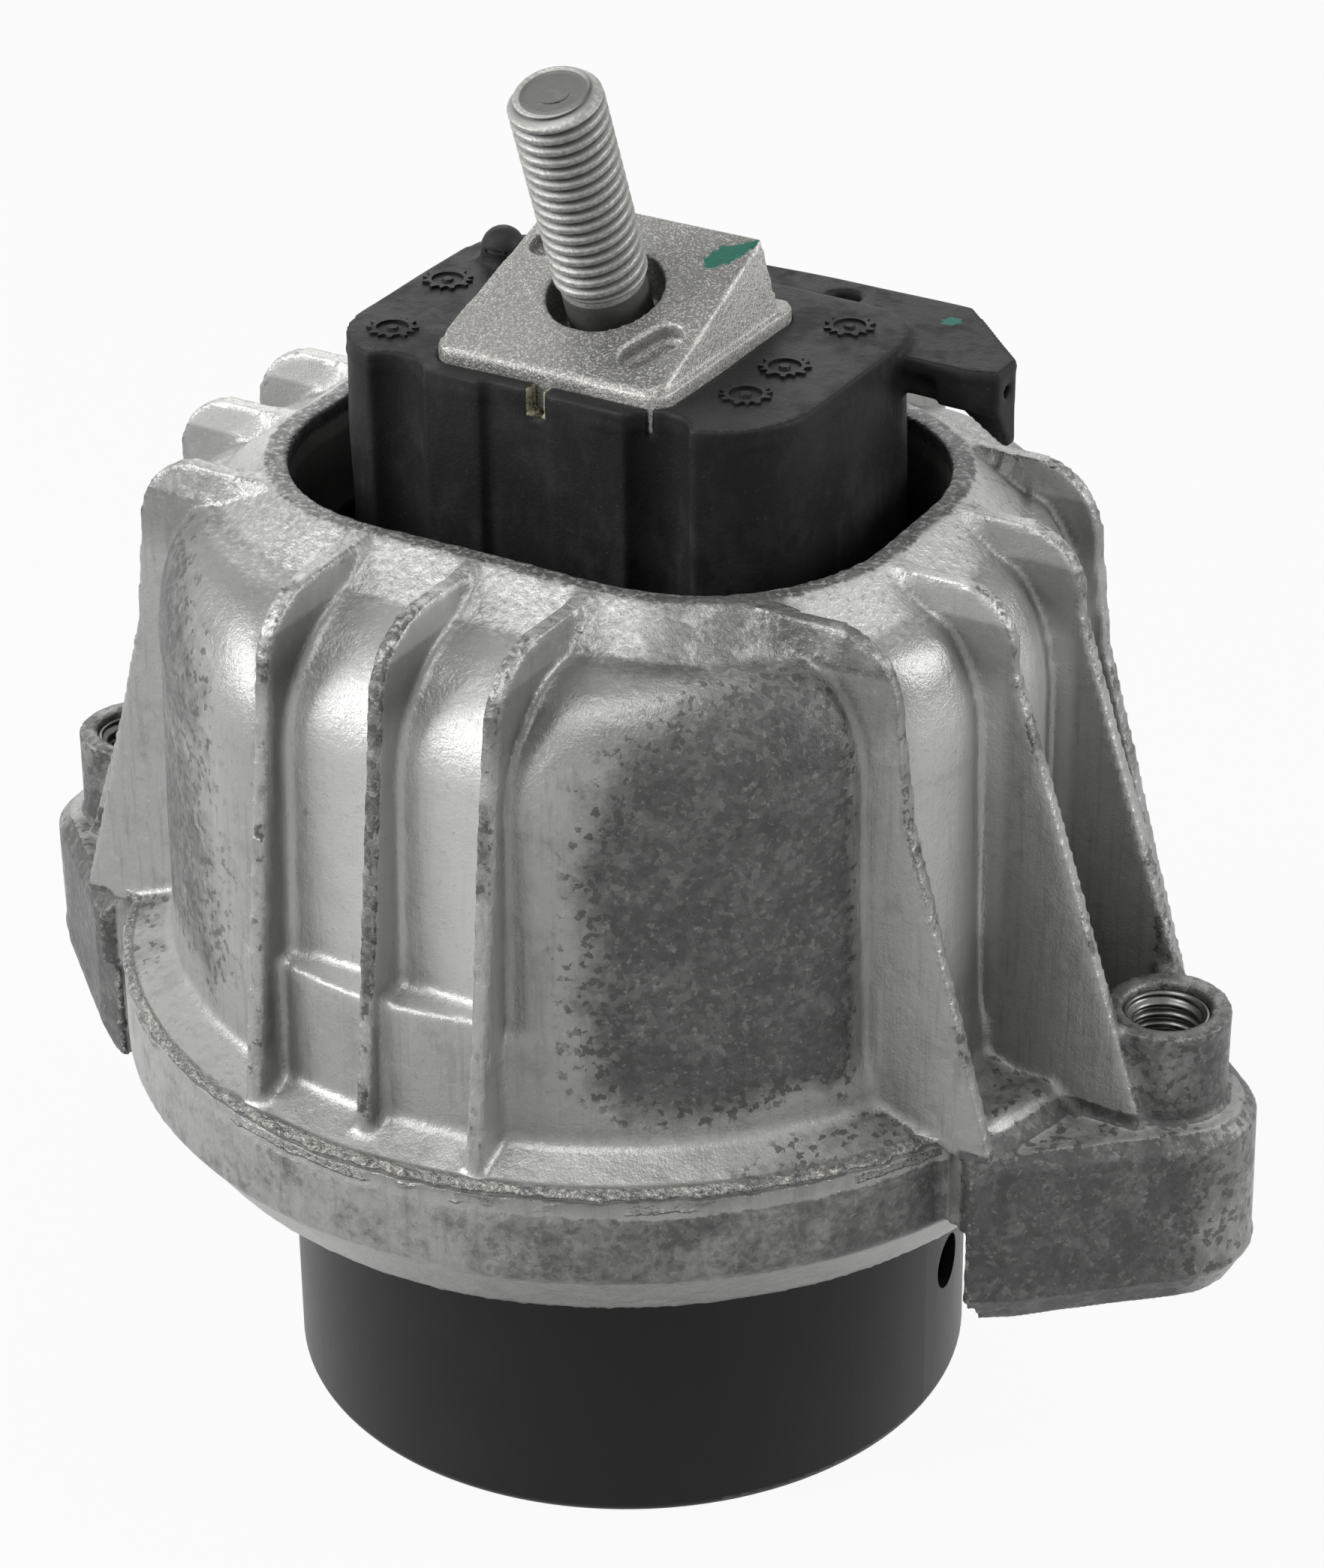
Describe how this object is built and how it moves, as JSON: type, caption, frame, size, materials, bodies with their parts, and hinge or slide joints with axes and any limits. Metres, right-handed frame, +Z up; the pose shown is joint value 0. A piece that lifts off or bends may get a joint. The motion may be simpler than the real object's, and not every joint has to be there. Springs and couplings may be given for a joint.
{
  "type": "engine mount",
  "caption": "Hydraulic engine mount: ribbed cast housing with two feet, rubber spring, tilted stud on a metal core, fluid chamber closed by a round can.",
  "frame": {"origin": "axis of the can at its flat bottom, which is the face the part rests on", "axes": "+X to the right foot, +Y to the back, where the stop arm is, +Z up towards the stud"},
  "size_m": [0.1839, 0.1346, 0.1878],
  "materials": {
    "cast_alloy": "as cast, mottled grey",
    "blasted_alloy": "bead blasted",
    "stud_steel": "zinc flake coated",
    "insert_steel": "bright",
    "plain_steel": "plain",
    "plate_alloy": "plain",
    "can_paint": "satin black",
    "moulded_rubber": "dusty matt",
    "thin_rubber": "matt"
  },
  "bodies": {
    "root": {"housing": "cast_alloy", "thread_insert_right": "insert_steel", "thread_insert_left": "insert_steel", "core": "blasted_alloy", "stud": "stud_steel", "rubber_spring": "moulded_rubber", "spring_ring": "plain_steel", "base_can": "can_paint", "bellows": "thin_rubber", "bellows_ring": "plain_steel", "nozzle_plate_lower": "plate_alloy", "nozzle_plate_upper": "plate_alloy", "decoupler_membrane": "thin_rubber", "nozzle_rivets": "plain_steel", "chamber_seal": "thin_rubber"}
  },
  "joints": []
}
